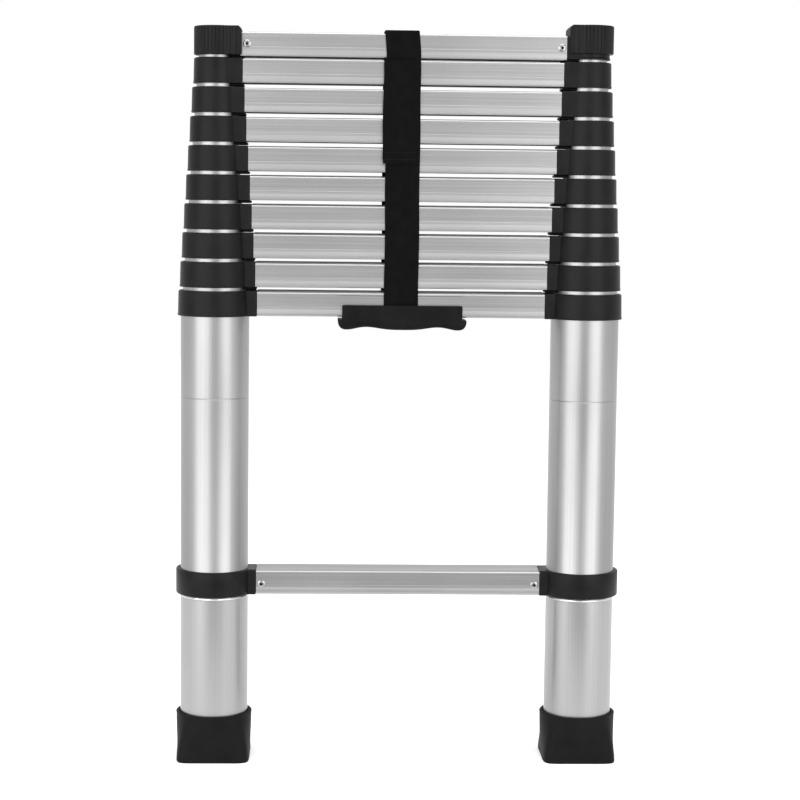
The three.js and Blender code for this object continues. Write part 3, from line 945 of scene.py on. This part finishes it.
def release_slide(side):
    """A ridged thumb plate on the back of rung 1, its stem, and the lock pin inside the rung."""
    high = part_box(f"{side}_release_slide")[1]
    inward = inward_of(side)
    axis = tube_facts(side, 1)["x"]
    middle = axis + inward * STEM_X
    level = rung_level("rung_1")
    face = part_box("rung_1")[1].y + CLEAR
    bm = bmesh.new()
    rounded_box(
        bm,
        (middle - SLIDE_HALF_WIDTH, face, level - SLIDE_HALF_HEIGHT),
        (middle + SLIDE_HALF_WIDTH, high.y - 1.2 * MM, level + SLIDE_HALF_HEIGHT),
        1.4 * MM,
    )
    for i in range(GRIP_RIDGES):
        x = middle + (i - GRIP_RIDGES // 2) * GRIP_PITCH
        rounded_box(
            bm,
            (x - 1.1 * MM, high.y - 2.2 * MM, level - 5.6 * MM),
            (x + 1.1 * MM, high.y, level + 5.6 * MM),
            0.8 * MM,
        )
    rounded_box(
        bm,
        (middle - 4 * MM, face - 6 * MM, level - 4 * MM),
        (middle + 4 * MM, face + 1 * MM, level + 4 * MM),
        0.8 * MM,
    )
    piece(f"{side}_lock_slide", bm, COLLAR, f"{side}_release", [f"{side}_release_slide"])
    # the lock pin lies inside rung 1 and runs to the next tube
    tip = tube_facts(side, 2)["radius"] + CLEAR
    steps = [2 * math.pi * i / PIN_SIDES for i in range(PIN_SIDES)]
    bm = bmesh.new()
    rings = []
    for u, radius in ((tip, PIN_RADIUS - 0.8 * MM), (tip + 1 * MM, PIN_RADIUS), (PIN_TAIL, PIN_RADIUS)):
        x = axis + inward * u
        rings.append([(x, radius * math.cos(t), level + radius * math.sin(t)) for t in steps])
    add_loft(bm, rings)
    piece(f"{side}_lock_pin", bm, RIVET, f"{side}_release")


# ---------------------------------------------------------------- build

for side in ("left", "right"):
    boot(side)
    base_collar(side)
    for section in range(1, SECTIONS + 1):
        tube(side, section)
    for section in range(1, SECTIONS):
        collar(side, section)
    end_cap(side)
    release_slide(side)

rung("base_rung", "base_step", 1)
for section in range(1, SECTIONS + 1):
    rung(f"rung_{section}", f"step_{section}", section)

# node, section, the x of its left and right rivet, and their height above the rung's level
RIVET_PLACES = (
    ("base_rung", 1, -141.5 * MM, 141.5 * MM, -1.8 * MM),
    ("rung_10", SECTIONS, -158.4 * MM, 160.2 * MM, 0),
)
for node, section, left_x, right_x, above in RIVET_PLACES:
    low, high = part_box(node)
    height = rung_level(node) + above
    for label, x in (("left", left_x), ("right", right_x)):
        rivet(f"{node}_rivet_{label}", x, height, low.y + FACE_RECESS, -1, section_body(section))
        rivet(f"{node}_back_rivet_{label}", x, height, high.y, 1, section_body(section))

handle()
strap_loop, loop_length = strap()
flap_webbing, stitches, flap_length = flap()
# the strap, its flap and its stitches each get a mesh of their own
for soft in (strap_loop, flap_webbing, stitches):
    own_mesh(soft)


# ---------------------------------------------------------------- studio

def stage_plane(name, width, depth, place, turn, material, only_reflected=False):
    bm = bmesh.new()
    corners = [(-1, -1), (1, -1), (1, 1), (-1, 1)]
    bm.faces.new([bm.verts.new((x * width / 2, y * depth / 2, 0)) for x, y in corners])
    mesh = bpy.data.meshes.new(name)
    bm.to_mesh(mesh)
    bm.free()
    made = bpy.data.objects.new(name, mesh)
    bpy.context.scene.collection.objects.link(made)
    made.location = place
    made.rotation_euler = turn
    mesh.materials.append(material)
    if only_reflected:
        made.visible_camera = False
        made.visible_diffuse = False
        made.visible_shadow = False
        made.visible_transmission = False


def softbox(name, place, target, width, height, power):
    data = bpy.data.lights.new(name, "AREA")
    data.shape = "RECTANGLE"
    data.size, data.size_y = width, height
    data.energy = power
    made = bpy.data.objects.new(name, data)
    bpy.context.scene.collection.objects.link(made)
    made.location = place
    made.rotation_euler = (Vector(target) - Vector(place)).to_track_quat("-Z", "Y").to_euler()
    made.visible_camera = False


floor_paint = Nodes("floor_paint")
floor_cloud = floor_paint.noise((1, 1, 1), scale=3)
floor_colours = floor_paint.colours(floor_cloud, (0.93, 0.93, 0.93), (0.95, 0.95, 0.95))
floor_paint.wire("Base Color", floor_colours)
floor_paint.set(
    Roughness=0.9, Specular_IOR_Level=0.0, Emission_Color=(1, 1, 1, 1), Emission_Strength=FLOOR_GLOW
)
floor_place = (0, 1.2, cad_low[2] - 0.2 * MM)
stage_plane("floor", FLOOR_SIZE, FLOOR_SIZE, floor_place, (0, 0, 0), floor_paint.material)

# a grey flag low in front, seen only as a reflection, keeps the lower rungs from flaring
flag_paint = Nodes("flag_paint")
flag_paint.set(
    Base_Color=(0, 0, 0, 1), Specular_IOR_Level=0.0, Emission_Color=(1, 1, 1, 1), Emission_Strength=FLAG_GREY
)
flag_tilt = math.atan2(FLAG_TOP, FLAG_FAR - FLAG_NEAR)
stage_plane(
    "grey_flag",
    FLAG_WIDTH,
    math.hypot(FLAG_TOP, FLAG_FAR - FLAG_NEAR),
    (0, -(FLAG_NEAR + FLAG_FAR) / 2, FLAG_TOP / 2 + 0.01),
    (-flag_tilt, 0, 0),
    flag_paint.material,
    only_reflected=True,
)

world = bpy.data.worlds.new("studio")
bpy.context.scene.world = world
world.use_nodes = True
world.node_tree.nodes["Background"].inputs["Color"].default_value = (1, 1, 1, 1)
world.node_tree.nodes["Background"].inputs["Strength"].default_value = WALL_WHITE

# where each softbox stands and what it looks at, its width and height, and its power in watts
middle = (0, 0, 0.38)
softbox("key_left", (-1.56, -1.84, 0.8), middle, 2.3, 2.0, 31.4)
softbox("key_right", (1.29, -1.86, 0.8), middle, 1.7, 2.0, 23.4)
softbox("top", (0, -0.6, 2.6), middle, 2.2, 2.0, 38)

CAMERA_PLACE = Vector((-79.47 * MM, -2127.4 * MM, 588.4 * MM))
PITCH, YAW, ROLL = 0.0999, 0.03759, -0.01171
SENSOR_WIDTH = 36
FOCAL_LENGTH = 92.96
level = math.cos(PITCH)
forward = Vector((math.sin(YAW) * level, math.cos(YAW) * level, -math.sin(PITCH)))
right = Vector((math.cos(YAW), -math.sin(YAW), 0))
down = forward.cross(right)
turned_right = math.cos(ROLL) * right + math.sin(ROLL) * down
turned_down = -math.sin(ROLL) * right + math.cos(ROLL) * down
camera_data = bpy.data.cameras.new("camera")
camera_data.sensor_width = SENSOR_WIDTH
camera_data.lens = FOCAL_LENGTH
camera = bpy.data.objects.new("camera", camera_data)
bpy.context.scene.collection.objects.link(camera)
axes = Matrix((turned_right, -turned_down, -forward)).transposed().to_4x4()
camera.matrix_world = Matrix.Translation(CAMERA_PLACE) @ axes
bpy.context.scene.camera = camera
bpy.context.scene.view_settings.view_transform = "Standard"
